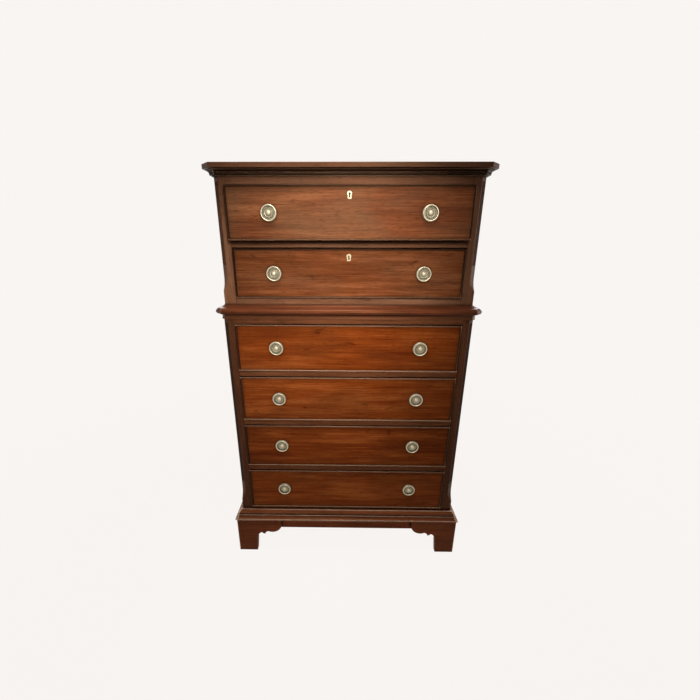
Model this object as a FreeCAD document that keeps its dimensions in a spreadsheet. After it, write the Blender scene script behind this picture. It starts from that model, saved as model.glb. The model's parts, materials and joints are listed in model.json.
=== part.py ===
import FreeCAD
import Part

import math
import os
import re

# Chest on chest: an upper case with two drawers stands on a lower case with four.
# Millimetres, +Z up, the front faces -Y, the origin is on the floor under the middle of the chest.

Vector = FreeCAD.Vector

# Driving sizes: name, value, what it is
SIZES = (
    ("upper_width", 914.0, "width of the upper case"),
    ("lower_depth", 500.0, "depth of the lower case"),
    ("case_step", 12.0, "how far the lower case stands out beyond the upper one, front and sides"),
    ("side_thickness", 20.0, "case sides"),
    ("post_width", 44.0, "corner post seen from the front"),
    ("post_depth", 40.0, "corner post from front to back, and the rails between the posts"),
    ("cant", 20.0, "corner cut off each post, front and side"),
    ("board_thickness", 19.0, "tops and bottoms of the cases"),
    ("back_thickness", 8.0, "back panels"),
    ("rail_height", 22.0, "rail between two drawers"),
    ("foot_height", 178.0, "floor to the underside of the base moulding"),
    ("lower_plinth", 52.5, "lower case bottom to the lowest drawer opening"),
    ("lower_head", 40.0, "top of the third drawer opening to the top of the lower case"),
    ("upper_plinth", 53.5, "upper case bottom to the second drawer opening"),
    ("upper_head", 47.0, "top of the first drawer opening to the top of the upper case"),
    ("drawer_1_height", 177.0, "opening of drawer 1, the top one"),
    ("drawer_2_height", 179.0, "opening of drawer 2"),
    ("drawer_3_height", 190.0, "opening of drawer 3"),
    ("drawer_4_height", 194.0, "opening of drawer 4"),
    ("drawer_5_height", 199.0, "opening of drawer 5"),
    ("drawer_6_height", 199.0, "opening of drawer 6, the lowest one"),
    ("cap_thickness", 16.0, "cap board, whose edge is the cornice's fascia"),
    ("cap_overhang", 30.0, "cap board beyond the upper case"),
    ("cornice_cant", 14.0, "corner cut off the cornice's inner outline"),
    ("waist_cant", 5.0, "corner cut off the waist moulding's inner outline"),
    ("cornice_height", 21.0, "cornice moulding under the cap"),
    ("cornice_projection", 19.0, "cornice moulding at its top"),
    ("cornice_bead", 11.0, "cornice bead beyond the case"),
    ("cornice_bead_height", 6.0, "cornice bead"),
    ("cornice_neck", 3.0, "cornice moulding at its foot"),
    ("waist_rise", 32.0, "waist moulding above the joint of the two cases"),
    ("waist_drop", 22.0, "waist moulding below the joint"),
    ("waist_projection", 34.0, "waist moulding beyond the upper case"),
    ("waist_nose", 9.0, "waist moulding's widest point above the joint"),
    ("waist_shoulder", 21.0, "waist moulding where its hollow meets its round"),
    ("waist_hem", 3.0, "waist moulding beyond the lower case at its foot"),
    ("base_height", 43.0, "base moulding"),
    ("base_projection", 30.0, "base moulding beyond the lower case at its foot"),
    ("base_middle", 20.0, "base moulding at its middle fillet"),
    ("base_lip", 9.0, "base moulding at its top"),
    ("base_sole", 6.0, "flat edge at the foot of the base moulding"),
    ("base_ledge", 4.5, "flats on top of the base moulding's two steps"),
    ("fillet", 3.5, "small flats between the curves of the mouldings"),
    ("foot_projection", 25.0, "outer face of the feet beyond the lower case"),
    ("foot_thickness", 20.0, "boards of the feet"),
    ("bracket_length", 198.0, "foot board along the case"),
    ("leg_width", 82.0, "foot on the floor"),
    ("leg_lean", 6.0, "lean of the foot's inner edge"),
    ("leg_height", 66.0, "top of the foot's straight inner edge"),
    ("hollow_height", 105.0, "top of the hollow above the leg"),
    ("hollow_reach", 20.0, "leg to the top of the hollow"),
    ("spur_height", 96.0, "tip of the spur"),
    ("spur_reach", 15.0, "hollow to the spur's tip, and from there to the belly"),
    ("belly_height", 111.0, "underside of the belly"),
    ("wing_height", 136.0, "underside of the bracket's end"),
    ("rear_bracket", 120.0, "board across the back of each rear foot"),
    ("block_size", 36.0, "glue block behind each foot"),
    ("apron_thickness", 18.0, "apron board"),
    ("apron_height", 63.0, "apron board"),
    ("apron_lap", 40.0, "apron behind each foot board"),
    ("upper_stop", 81.0, "square foot of the upper posts, below the carved stop"),
    ("lower_stop", 92.0, "square foot of the lower posts, below the carved stop"),
    ("tongue_height", 48.0, "carved stop where the cant runs out"),
    ("flute_radius", 2.6, "flutes on the cant"),
    ("flute_pitch", 7.6, "flute to flute"),
    ("flute_head", 16.0, "plain cant above the flutes"),
    ("flute_foot", 45.0, "plain cant below the flutes"),
    ("drawer_1_ajar", 30.0, "how far drawer 1 stands open at rest"),
    ("side_gap", 2.0, "drawer to the posts and guides"),
    ("top_gap", 2.8, "drawer front to the rail above"),
    ("bottom_gap", 2.0, "drawer front to the rail below"),
    ("runner_clearance", 0.3, "drawer sides above the runners"),
    ("front_thickness", 22.0, "drawer front"),
    ("bead_thickness", 5.0, "cock bead seen from the front"),
    ("bead_rise", 4.0, "cock bead in front of the drawer front"),
    ("bead_depth", 8.0, "rebate that holds the bead"),
    ("drawer_side", 12.0, "drawer sides and backs"),
    ("side_drop", 14.0, "drawer sides below the top of the opening"),
    ("back_drop", 8.0, "drawer back below the sides"),
    ("bottom_lift", 14.0, "drawer bottom above the floor of the opening"),
    ("bottom_thickness", 6.0, "drawer bottom"),
    ("groove_depth", 5.0, "groove that holds the drawer bottom"),
    ("rear_space", 12.0, "closed drawer to the case back"),
    ("tail_length", 12.0, "dovetails into the drawer front"),
    ("tail_spacing", 10.0, "wood between two dovetails"),
    ("tail_slope", 6.0, "dovetails widen by one in this many"),
    ("runner_inset", 20.0, "runner reaching under the drawer side"),
    ("guide_height", 26.0, "guide beside the drawer side"),
    ("stop_place", 120.0, "drawer stop from the middle of the rail"),
    ("stop_width", 40.0, "drawer stop"),
    ("stop_height", 8.0, "drawer stop"),
    ("upper_pull_spacing", 537.0, "pull to pull on the upper drawers"),
    ("lower_pull_spacing", 548.0, "pull to pull on the lower drawers"),
    ("plate_radius", 27.5, "pull plate"),
    ("plate_thickness", 1.6, "pull plate"),
    ("plate_rim", 1.5, "half thickness of the plate's rolled rim"),
    ("disc_radius", 15.5, "raised disc in the middle of the plate"),
    ("disc_height", 3.4, "raised disc above the drawer front"),
    ("dome_radius", 9.6, "dome on the raised disc"),
    ("dome_sink", 3.0, "dome's middle below the face of the disc"),
    ("ring_radius", 24.0, "pull ring to the middle of its wire"),
    ("wire_radius", 2.1, "pull ring's wire"),
    ("ring_out", 6.0, "ring's axis in front of the drawer front"),
    ("pin_radius", 1.6, "pin on the ring"),
    ("pin_clearance", 0.05, "pin in its post"),
    ("pin_reach", 4.8, "half the pin's length"),
    ("ring_gap", 4.0, "half the opening cut in the ring for the post"),
    ("knuckle_radius", 3.0, "post that holds the ring"),
    ("knuckle_cap", 3.2, "post beyond the pin's axis"),
    ("stud_radius", 2.5, "threaded stud behind the plate"),
    ("stud_clearance", 0.3, "stud in the drawer front"),
    ("stud_tail", 7.0, "stud beyond the nut's seat"),
    ("nut_radius", 6.0, "nut across its corners"),
    ("nut_height", 4.5, "nut"),
    ("key_drop", 33.0, "keyhole plate's middle below the top of the opening"),
    ("plate_round", 8.0, "radius of the keyhole plate's head"),
    ("plate_waist", 12.5, "width of the keyhole plate's foot"),
    ("plate_drop", 12.0, "keyhole plate's foot below its middle"),
    ("plate_inset", 2.5, "keyhole plate let into the drawer front"),
    ("plate_proud", 0.5, "keyhole plate in front of the drawer front"),
    ("key_radius", 3.2, "round part of the keyhole"),
    ("key_slot", 4.4, "width of the keyhole's slot"),
    ("key_slot_drop", 8.0, "foot of the slot below the plate's middle"),
    ("key_lift", 4.0, "round parts above the plate's middle"),
    ("lock_width", 64.0, "lock case"),
    ("lock_height", 48.0, "lock case"),
    ("lock_depth", 11.0, "lock case let into the back of the drawer front"),
    ("bolt_width", 24.0, "lock bolt"),
    ("bolt_thickness", 7.0, "lock bolt"),
    ("bolt_length", 32.0, "lock bolt"),
    ("bolt_clearance", 0.2, "lock bolt in its case"),
    ("bolt_setback", 1.0, "drawn bolt below the top of the drawer front"),
    ("bolt_travel", 9.0, "how far the bolt rises"),
    ("mortise_room", 1.0, "mortise in the rail around the raised bolt"),
)

# Places worked out from the driving sizes
LEVELS = (
    ("rear", "(lower_depth + base_projection) / 2"),
    ("lower_front", "rear - lower_depth"),
    ("upper_front", "lower_front + case_step"),
    ("upper_half", "upper_width / 2"),
    ("lower_half", "upper_half + case_step"),
    ("upper_opening", "upper_half - post_width"),
    ("lower_opening", "lower_half - post_width"),
    ("lower_bottom", "foot_height"),
    ("drawer_6_floor", "lower_bottom + lower_plinth"),
    ("drawer_5_floor", "drawer_6_floor + drawer_6_height + rail_height"),
    ("drawer_4_floor", "drawer_5_floor + drawer_5_height + rail_height"),
    ("drawer_3_floor", "drawer_4_floor + drawer_4_height + rail_height"),
    ("lower_top", "drawer_3_floor + drawer_3_height + lower_head"),
    ("upper_bottom", "lower_top"),
    ("drawer_2_floor", "upper_bottom + upper_plinth"),
    ("drawer_1_floor", "drawer_2_floor + drawer_2_height + rail_height"),
    ("upper_top", "drawer_1_floor + drawer_1_height + upper_head"),
    ("cornice_bottom", "upper_top - cornice_height"),
    ("waist_top", "lower_top + waist_rise"),
    ("waist_bottom", "lower_top - waist_drop"),
    ("upper_drawer_length", "rear - back_thickness - rear_space - upper_front"),
    ("lower_drawer_length", "rear - back_thickness - rear_space - lower_front"),
    ("drawer_1_face", "upper_front - drawer_1_ajar"),
    ("drawer_2_face", "upper_front"),
    ("drawer_3_face", "lower_front"),
    ("drawer_4_face", "lower_front"),
    ("drawer_5_face", "lower_front"),
    ("drawer_6_face", "lower_front"),
    ("base_top", "foot_height + base_height"),
)

CASE_DRAWERS = {"upper": (1, 2), "lower": (3, 4, 5, 6)}
LOCKED_DRAWERS = (1, 2)
TAIL_COUNT = 5
FLUTE_COUNT = 3
HEX_CORNERS = 6
SIDES = {"left": -1, "right": 1}

SIZE_NAMES = [name for name, value, note in SIZES]
LEVEL_NAMES = [name for name, rule in LEVELS]

doc = FreeCAD.newDocument("ChestOnChest")
size_sheet = doc.addObject("Spreadsheet::Sheet", "Sizes")
level_sheet = doc.addObject("Spreadsheet::Sheet", "Levels")
nodes = []


def formula(text, home=""):
    """The formula with each size and level written with the name of its sheet."""
    def with_sheet(match):
        word = match.group(0)
        if word in SIZE_NAMES:
            return f"Sizes.{word}"
        if word in LEVEL_NAMES and home != "Levels":
            return f"Levels.{word}"
        return word
    return re.sub(r"[a-z]\w*", with_sheet, text)


def fill_sheets():
    for row, (name, value, note) in enumerate(SIZES, 1):
        size_sheet.set(f"A{row}", name)
        size_sheet.set(f"B{row}", str(value))
        size_sheet.setAlias(f"B{row}", name)
        size_sheet.set(f"C{row}", note)
    doc.recompute()
    for row, (name, rule) in enumerate(LEVELS, 1):
        level_sheet.set(f"A{row}", name)
        level_sheet.set(f"B{row}", "=" + formula(rule, "Levels"))
        level_sheet.setAlias(f"B{row}", name)
        doc.recompute()


def value(name):
    """A size or level as a number, for the shapes that are drawn point by point."""
    sheet = size_sheet if name in SIZE_NAMES else level_sheet
    return float(sheet.get(name))


def bind(piece, prop, text):
    piece.setExpression(prop, formula(text))


def place_at(piece, spot):
    for axis, text in zip("xyz", spot):
        bind(piece, f"Placement.Base.{axis}", text)


def span(sign, inner, outer):
    """Low and high formula of a stretch on the left (-1) or right (1) of the middle."""
    if sign > 0:
        return inner, outer
    return f"-({outer})", f"-({inner})"


def board(name, x, y, z):
    """A box between two planes each way, given as formulas."""
    piece = doc.addObject("Part::Box", name)
    for size, (low, high) in zip(("Length", "Width", "Height"), (x, y, z)):
        bind(piece, size, f"({high}) - ({low})")
    place_at(piece, (x[0], y[0], z[0]))
    return piece


TURNS = {
    "up": FreeCAD.Rotation(),
    "out": FreeCAD.Rotation(Vector(1, 0, 0), 90),
    "in": FreeCAD.Rotation(Vector(1, 0, 0), -90),
    "right": FreeCAD.Rotation(Vector(0, 1, 0), 90),
}


def turned(kind, name, facing, spot, **sizes):
    """A primitive whose own axis points up, out of the front, into the chest or to the right."""
    piece = doc.addObject(kind, name)
    piece.Placement = FreeCAD.Placement(Vector(), TURNS[facing])
    for prop, text in sizes.items():
        bind(piece, prop, text)
    place_at(piece, spot)
    return piece


def rod(name, facing, spot, radius, length):
    return turned("Part::Cylinder", name, facing, spot, Radius=radius, Height=length)


def ring(name, spot, radius, wire):
    return turned("Part::Torus", name, "out", spot, Radius1=radius, Radius2=wire)


def fuse(name, *pieces):
    joined = doc.addObject("Part::MultiFuse", name)
    joined.Shapes = list(pieces)
    return joined


def cut(name, base, *tools):
    left = doc.addObject("Part::Cut", name)
    left.Base = base
    left.Tool = tools[0] if len(tools) == 1 else fuse(name + "_tools", *tools)
    return left


def node(label, *pieces):
    """Names a sub-part. Several solids of one kind are grouped under one name."""
    piece = pieces[0]
    if len(pieces) > 1:
        piece = doc.addObject("Part::Compound", "group_" + label)
        piece.Links = list(pieces)
    piece.Label = label
    nodes.append(piece)
    return piece


def drawn(name, shape):
    piece = doc.addObject("Part::Feature", name)
    piece.Shape = shape
    piece.Placement = FreeCAD.Placement()
    return piece


def outline(start, steps, place):
    """A closed wire. Each step is one point for a straight line or two for an arc through the first."""
    edges = []
    here = place(*start)
    for step in [*steps, (start,)]:
        points = [place(*point) for point in step]
        if len(points) == 1:
            edges.append(Part.LineSegment(here, points[0]).toShape())
        else:
            edges.append(Part.Arc(here, points[0], points[1]).toShape())
        here = points[-1]
    return Part.Wire(edges)


def bulge(start, end, share):
    """Middle point of an arc from start to end, standing off the chord by a share of its length."""
    across = (end[0] - start[0], end[1] - start[1])
    return (
        (start[0] + end[0]) / 2 - across[1] * share,
        (start[1] + end[1]) / 2 + across[0] * share,
    )


# Bends of the curved stretches, as shares of their chords
QUARTER_ROUND = 0.2
SHALLOW = 0.1
TONGUE_BEND = 0.08
HOLLOW_BEND = 0.18
SPUR_BEND = 0.12
NOTCH_BEND = 0.15
BELLY_BEND = 0.22


def chest_outline(half, front, corner):
    """Plan of a case from its left rear corner round the front to its right rear corner."""
    rear = value("rear")
    right = [(half - corner, front), (half, front + corner), (half, rear)]
    if corner == 0:
        right = right[1:]
    left = [(-x, y) for x, y in reversed(right)]
    return left + right


def mitre_offsets(path):
    """At each point of a path, the way that moves both its neighbouring runs out by one."""
    normals = []
    for (x0, y0), (x1, y1) in zip(path, path[1:]):
        length = math.hypot(x1 - x0, y1 - y0)
        normals.append(((y1 - y0) / length, (x0 - x1) / length))
    offsets = [normals[0]]
    for (ax, ay), (bx, by) in zip(normals, normals[1:]):
        shrink = 1 + ax * bx + ay * by
        offsets.append(((ax + bx) / shrink, (ay + by) / shrink))
    return offsets + [normals[-1]]


def mitred_moulding(path, section):
    """One mitred length of moulding for each run of the path.

    section(is_corner) gives the start and steps of the profile as (outward, height) points.
    """
    offsets = mitre_offsets(path)
    runs = []
    for index, ((x0, y0), (x1, y1)) in enumerate(zip(path, path[1:])):
        is_corner = x0 != x1 and y0 != y1
        length = math.hypot(x1 - x0, y1 - y0)
        along = Vector((x1 - x0) / length, (y1 - y0) / length, 0)
        outward = Vector(along.y, -along.x, 0)
        start, steps = section(is_corner)
        reach = 2 * max(point[0] for step in steps for point in step)
        origin = Vector(x0, y0, 0) - along * reach

        def on_profile(out, height):
            return origin + outward * out + Vector(0, 0, height)

        bar = Part.Face(outline(start, steps, on_profile)).extrude(along * (length + 2 * reach))
        inner = min(point[0] for step in [*steps, (start,)] for point in step)
        corners = [(index, inner), (index, reach), (index + 1, reach), (index + 1, inner)]
        plan = []
        for at, out in corners:
            (x, y), (dx, dy) = path[at], offsets[at]
            plan.append(Vector(x + dx * out, y + dy * out, bar.BoundBox.ZMin))
        trim = Part.Face(Part.makePolygon([*plan, plan[0]])).extrude(Vector(0, 0, bar.BoundBox.ZLength))
        runs.append(bar.common(trim))
    return Part.makeCompound([solid for run in runs for solid in run.Solids])


# Cornice, waist and base mouldings, and the cap board

def cornice_section(is_corner):
    top = value("upper_top")
    foot = value("cornice_bottom")
    neck = value("cornice_neck")
    bead = value("cornice_bead")
    flat = value("fillet")
    wide = value("cornice_projection")
    bead_height = value("cornice_bead_height")
    bead_foot = (bead - bead_height / 4, foot + flat)
    bead_top = (bead - bead_height / 4, foot + flat + bead_height)
    cove_foot = (bead + flat / 3, bead_top[1])
    cove_top = (wide, top - flat / 2)
    steps = [
        ((neck, foot),),
        ((neck, bead_foot[1]),),
        (bead_foot,),
        ((bead, foot + flat + bead_height / 2), bead_top),
        (cove_foot,),
        (bulge(cove_foot, cove_top, QUARTER_ROUND), cove_top),
        ((wide, top),),
        ((0.0, top),),
    ]
    return (0.0, foot), steps


def waist_seat():
    """Where the waist moulding's corner pieces meet the lower posts: the distance from the
    moulding's inner outline, and the depth that the posts' corners lose for it."""
    seat = value("case_step") + value("waist_hem") / 2
    post_corner = (2 * value("case_step") + value("waist_cant")) / math.sqrt(2)
    return seat, post_corner - seat


def waist_section(is_corner):
    top = value("waist_top")
    foot = value("waist_bottom")
    joint = value("lower_top")
    step = value("case_step")
    wide = value("waist_projection")
    flat = value("fillet")
    hem = step + value("waist_hem")
    inner_foot = waist_seat()[0] if is_corner else step
    nose = (wide, joint + value("waist_nose"))
    cove_top = (flat + flat / 2, top - flat)
    cove_foot = (value("waist_shoulder"), (top + nose[1]) / 2)
    round_top = (cove_foot[0] + flat / 2, cove_foot[1])
    nose_foot = (wide - flat, joint)
    lower_cove_top = (cove_foot[0], joint)
    lower_cove_foot = (hem, foot + flat)
    steps = [
        ((flat, top),),
        ((flat, top - flat),),
        (cove_top,),
        (bulge(cove_top, cove_foot, -SHALLOW), cove_foot),
        (round_top,),
        (bulge(round_top, nose, SHALLOW), nose),
        (bulge(nose, nose_foot, SHALLOW), nose_foot),
        (lower_cove_top,),
        (bulge(lower_cove_top, lower_cove_foot, -QUARTER_ROUND), lower_cove_foot),
        ((hem, foot),),
        ((inner_foot, foot),),
        ((inner_foot, joint),),
        ((0.0, joint),),
    ]
    return (0.0, top), steps


def base_section(is_corner):
    foot = value("foot_height")
    top = value("base_top")
    lip = value("base_lip")
    middle = value("base_middle")
    wide = value("base_projection")
    flat = value("fillet")
    ledge = value("base_ledge")
    middle_top = (foot + top) / 2
    round_top = (lip, top - flat)
    round_foot = (middle - ledge, middle_top)
    cove_top = (middle, middle_top - flat)
    cove_foot = (wide - ledge, foot + value("base_sole"))
    steps = [
        ((lip, top),),
        (round_top,),
        (bulge(round_top, round_foot, QUARTER_ROUND), round_foot),
        ((middle, middle_top),),
        (cove_top,),
        (bulge(cove_top, cove_foot, -QUARTER_ROUND), cove_foot),
        ((wide, cove_foot[1]),),
        ((wide, foot),),
        ((0.0, foot),),
    ]
    return (0.0, top), steps


def make_mouldings():
    cornice_path = chest_outline(value("upper_half"), value("upper_front"), value("cornice_cant"))
    waist_path = chest_outline(value("upper_half"), value("upper_front"), value("waist_cant"))
    lower_path = chest_outline(value("lower_half"), value("lower_front"), 0)
    node("cornice_moulding", drawn("cornice", mitred_moulding(cornice_path, cornice_section)))
    node("waist_moulding", drawn("waist", mitred_moulding(waist_path, waist_section)))
    node("base_moulding", drawn("base", mitred_moulding(lower_path, base_section)))
    over = value("cap_overhang")
    top = value("upper_top")
    plan = [
        Vector(x + ox * over, y + oy * over, top)
        for (x, y), (ox, oy) in zip(cornice_path, mitre_offsets(cornice_path))
    ]
    cap = Part.Face(Part.makePolygon([*plan, plan[0]])).extrude(Vector(0, 0, value("cap_thickness")))
    node("cap_board", drawn("cap", cap))


# Corner posts: a cant with flutes that runs out in a carved stop

def corner_cutter(case, sign, start, steps):
    """Wood taken off a post's front corner, drawn as (depth, height) on the corner's diagonal."""
    corner = Vector(sign * value(case + "_half"), value(case + "_front"), 0)
    inward = Vector(-sign, 1, 0).normalize()
    along = Vector(sign, 1, 0).normalize()
    reach = 2 * value("cant")

    def on_section(depth, height):
        return corner + inward * depth + Vector(0, 0, height) - along * reach

    return Part.Face(outline(start, steps, on_section)).extrude(along * (2 * reach))


def cant_cutter(case, sign, head):
    """The cant, which runs out at its foot in a carved stop."""
    clear = value("cant")
    deep = clear / math.sqrt(2)
    foot = value(case + "_bottom") + value(case + "_stop")
    stop = foot + value("tongue_height")
    steps = [
        ((-clear, head),),
        ((deep, head),),
        ((deep, stop),),
        (bulge((deep, stop), (0.0, foot), TONGUE_BEND), (0.0, foot)),
    ]
    return corner_cutter(case, sign, (-clear, foot), steps)


def seat_cutters(case, sign):
    """The seats of the mouldings' corner pieces on a post."""
    clear = value("cant")
    if case == "upper":
        seats = [("cornice_bottom", "upper_top", value("cornice_cant") / math.sqrt(2)),
                 ("upper_bottom", "waist_top", value("waist_cant") / math.sqrt(2))]
    else:
        seats = [("waist_bottom", "lower_top", waist_seat()[1])]
    cutters = []
    for foot_name, top_name, deep in seats:
        foot, top = value(foot_name), value(top_name)
        steps = [((deep, foot),), ((deep, top),), ((-clear, top),)]
        cutters.append(corner_cutter(case, sign, (-clear, foot), steps))
    return cutters


def make_posts(case, head):
    """Both posts of a case. Their cants end under the moulding at the level named head."""
    posts = []
    flute_foot = f"{case}_bottom + {case}_stop + tongue_height + flute_foot"
    flute_length = f"{head} - flute_head - ({flute_foot})"
    for side, sign in SIDES.items():
        name = f"{case}_post_{side}"
        blank = board(
            name + "_blank",
            span(sign, f"{case}_opening", f"{case}_half"),
            (f"{case}_front", f"{case}_front + post_depth"),
            (f"{case}_bottom", f"{case}_top"),
        )
        tools = [drawn(name + "_cant", cant_cutter(case, sign, value(head)))]
        for seat in seat_cutters(case, sign):
            tools.append(drawn(name + "_seat", seat))
        for flute in range(FLUTE_COUNT):
            shift = f"{flute - (FLUTE_COUNT - 1) / 2} * flute_pitch / sqrt(2)"
            x = f"{sign} * ({case}_half - cant / 2 + {shift})"
            y = f"{case}_front + cant / 2 + {shift}"
            mark = f"{name}_flute_{flute}"
            tools.append(rod(mark, "up", (x, y, flute_foot), "flute_radius", flute_length))
            for end, z in (("foot", flute_foot), ("head", f"{flute_foot} + {flute_length}")):
                ball = f"{mark}_{end}"
                tools.append(turned("Part::Sphere", ball, "up", (x, y, z), Radius="flute_radius"))
        posts.append(cut(name, blank, *tools))
    node(f"{case}_corner_posts", *posts)


# The two cases: sides, boards, rails, backs, runners

def make_case(case):
    half = f"{case}_half"
    opening = f"{case}_opening"
    front = f"{case}_front"
    heights = (f"{case}_bottom", f"{case}_top")
    behind_posts = (f"{front} + post_depth", "rear - back_thickness")
    between_sides = (f"-({half} - side_thickness)", f"{half} - side_thickness")
    between_posts = (f"-{opening}", opening)
    rail_run = (front, f"{front} + post_depth")
    panels = [
        board(f"{case}_side_{side}", span(sign, f"{half} - side_thickness", half),
              (f"{front} + post_depth", "rear"), heights)
        for side, sign in SIDES.items()
    ]
    node(f"{case}_sides", *panels)
    bottom = board(f"{case}_bottom_board", between_sides, behind_posts,
                   (heights[0], f"{heights[0]} + board_thickness"))
    top = board(f"{case}_top_board", between_sides, behind_posts,
                (f"{heights[1]} - board_thickness", heights[1]))
    back = board(f"{case}_back", between_sides, ("rear - back_thickness", "rear"), heights)

    drawers = CASE_DRAWERS[case]
    first, last = drawers[0], drawers[-1]
    rails = [(f"drawer_{first}_floor + drawer_{first}_height", heights[1])]
    for drawer in drawers[:-1]:
        rails.append((f"drawer_{drawer}_floor - rail_height", f"drawer_{drawer}_floor"))
    rails.append((heights[0], f"drawer_{last}_floor"))
    rail_pieces = []
    for drawer, rail in zip([*drawers, "foot"], rails):
        piece = board(f"{case}_rail_{drawer}", between_posts, rail_run, rail)
        if drawer in LOCKED_DRAWERS:
            piece = cut(f"{case}_rail_{drawer}_mortised", piece, bolt_mortise(drawer, front))
        rail_pieces.append(piece)
    node(f"{case}_rails", *rail_pieces)

    fittings = []
    for drawer in drawers:
        floor = f"drawer_{drawer}_floor"
        for side, sign in SIDES.items():
            mark = f"{drawer}_{side}"
            fittings.append(board(
                f"runner_{mark}", span(sign, f"{opening} - runner_inset", f"{half} - side_thickness"),
                behind_posts, (f"{floor} - rail_height", floor)))
            fittings.append(board(
                f"guide_{mark}", span(sign, opening, f"{half} - side_thickness"),
                behind_posts, (floor, f"{floor} + guide_height")))
            fittings.append(board(
                f"stop_{mark}", span(sign, "stop_place - stop_width / 2", "stop_place + stop_width / 2"),
                (f"{front} + front_thickness", f"{front} + post_depth"), (floor, f"{floor} + stop_height")))
    return [bottom, top], back, fittings


# Bracket feet and the apron between the front ones

def bracket_face(corner, along):
    """Scrolled outline of a foot board that runs from a corner of the plinth in one direction."""
    top = value("foot_height")
    lean = value("leg_width") + value("leg_lean")
    leg_top = (lean, value("leg_height"))
    hollow = (lean + value("hollow_reach"), value("hollow_height"))
    spur = (hollow[0] + value("spur_reach"), value("spur_height"))
    belly = (spur[0] + value("spur_reach"), value("belly_height"))
    wing = (value("bracket_length"), value("wing_height"))
    steps = [
        ((value("leg_width"), 0.0),),
        (leg_top,),
        (bulge(leg_top, hollow, HOLLOW_BEND), hollow),
        (bulge(hollow, spur, -SPUR_BEND), spur),
        (bulge(spur, belly, NOTCH_BEND), belly),
        (bulge(belly, wing, -BELLY_BEND), wing),
        ((wing[0], top),),
        ((0.0, top),),
    ]

    def on_board(away, height):
        return corner + along * away + Vector(0, 0, height)

    return Part.Face(outline((0.0, 0.0), steps, on_board))


def make_feet():
    thick = value("foot_thickness")
    top = value("foot_height")
    block = value("block_size")
    half = value("lower_half") + value("foot_projection")
    front = value("lower_front") - value("foot_projection")
    rear = value("rear")
    feet = []
    for sign in SIDES.values():
        inward = Vector(-sign, 0, 0)
        back = Vector(0, 1, 0)
        corner = Vector(sign * half, front, 0)
        inner = corner + (inward + back) * thick
        across = bracket_face(corner, inward).extrude(back * thick)
        beside = bracket_face(corner, back).extrude(inward * thick)
        mitre = Part.Face(Part.makePolygon([corner, inner, corner + back * thick, corner]))
        mitre = mitre.extrude(Vector(0, 0, top))
        feet.append(across.cut(mitre))
        feet.append(beside.cut(Part.Face(Part.makePolygon(
            [corner, inner, corner + inward * thick, corner])).extrude(Vector(0, 0, top))))
        feet.append(Part.makeBox(block, block, top, inner + inward * block * (sign + 1) / 2))

        rear_corner = Vector(sign * half, rear, 0)
        feet.append(bracket_face(rear_corner, -back).extrude(inward * thick))
        seat = rear_corner + inward * thick
        head = seat + Vector(0, 0, top)
        leg = value("leg_width") - thick
        plate = [seat, seat + inward * leg, head + inward * value("rear_bracket"), head]
        feet.append(Part.Face(Part.makePolygon([*plate, plate[0]])).extrude(-back * thick))
        block_seat = seat - back * (thick + block) + inward * block * (sign + 1) / 2
        feet.append(Part.makeBox(block, block, top, block_seat))
    face = "lower_front - foot_projection + foot_thickness"
    end = "lower_half + foot_projection - bracket_length + apron_lap"
    apron = board("apron", (f"-({end})", end), (face, f"{face} + apron_thickness"),
                  ("foot_height - apron_height", "foot_height"))
    node("bracket_feet", drawn("feet", Part.makeCompound(feet)), apron)


# Locks on the upper drawers

def drawer_case(drawer):
    return "upper" if drawer in CASE_DRAWERS["upper"] else "lower"


def front_top(drawer):
    return f"drawer_{drawer}_floor + drawer_{drawer}_height - top_gap"


def bolt_space(name, face, z, room):
    """A box round the bolt of a drawer whose front is at face, with some room on its four sides."""
    near = f"{face} + front_thickness - lock_depth / 2 - bolt_thickness / 2"
    return board(name, (f"-(bolt_width / 2 + {room})", f"bolt_width / 2 + {room}"),
                 (f"{near} - {room}", f"{near} + bolt_thickness + {room}"), z)


def bolt_mortise(drawer, rail_face):
    """The hole in the rail that the raised bolt of a closed drawer enters."""
    rail_foot = f"drawer_{drawer}_floor + drawer_{drawer}_height"
    reach = f"{front_top(drawer)} - bolt_setback + bolt_travel + mortise_room"
    return bolt_space(f"mortise_{drawer}", rail_face, (rail_foot, reach), "mortise_room")


def key_plate_outline(name, drawer, y, head, foot_half, foot_drop):
    """A round head over a straight foot: the outline of a keyhole and of its plate."""
    middle = f"drawer_{drawer}_floor + drawer_{drawer}_height - key_drop"
    centre = f"{middle} + key_lift"
    disc = rod(name + "_head", "in", ("0", y[0], centre), head, f"({y[1]}) - ({y[0]})")
    foot = board(name + "_foot", (f"-({foot_half})", foot_half), y, (f"{middle} - {foot_drop}", centre))
    return fuse(name, disc, foot)


def make_lock(drawer):
    """Lock case, bolt and keyhole plate, and the tools that cut their seats in the drawer front."""
    face = f"drawer_{drawer}_face"
    back = f"{face} + front_thickness"
    top = front_top(drawer)
    seat = f"{back} - lock_depth"
    mark = f"lock_{drawer}"
    body = board(mark + "_body", ("-lock_width / 2", "lock_width / 2"), (seat, back),
                 (f"{top} - lock_height", top))
    bolt_top = f"{top} - bolt_setback"
    bolt_foot = f"{bolt_top} - bolt_length"
    bolt = bolt_space(mark + "_bolt_bar", face, (bolt_foot, bolt_top), "0")
    channel = bolt_space(mark + "_channel", face, (f"{bolt_foot} - bolt_clearance", top), "bolt_clearance")
    key_run = (f"{face} - plate_proud", f"{back} - lock_depth / 2")
    key = key_plate_outline(mark + "_key", drawer, key_run, "key_radius", "key_slot / 2", "key_slot_drop")
    plate_run = (f"{face} - plate_proud", f"{face} + plate_inset")
    blank = key_plate_outline(mark + "_plate_blank", drawer, plate_run,
                              "plate_round", "plate_waist / 2", "plate_drop")
    node(f"drawer_{drawer}_lock", cut(mark + "_case", body, channel, key), cut(mark + "_plate", blank, key))
    node(f"drawer_{drawer}_lock_bolt", bolt)
    return [body, blank, key]


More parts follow.
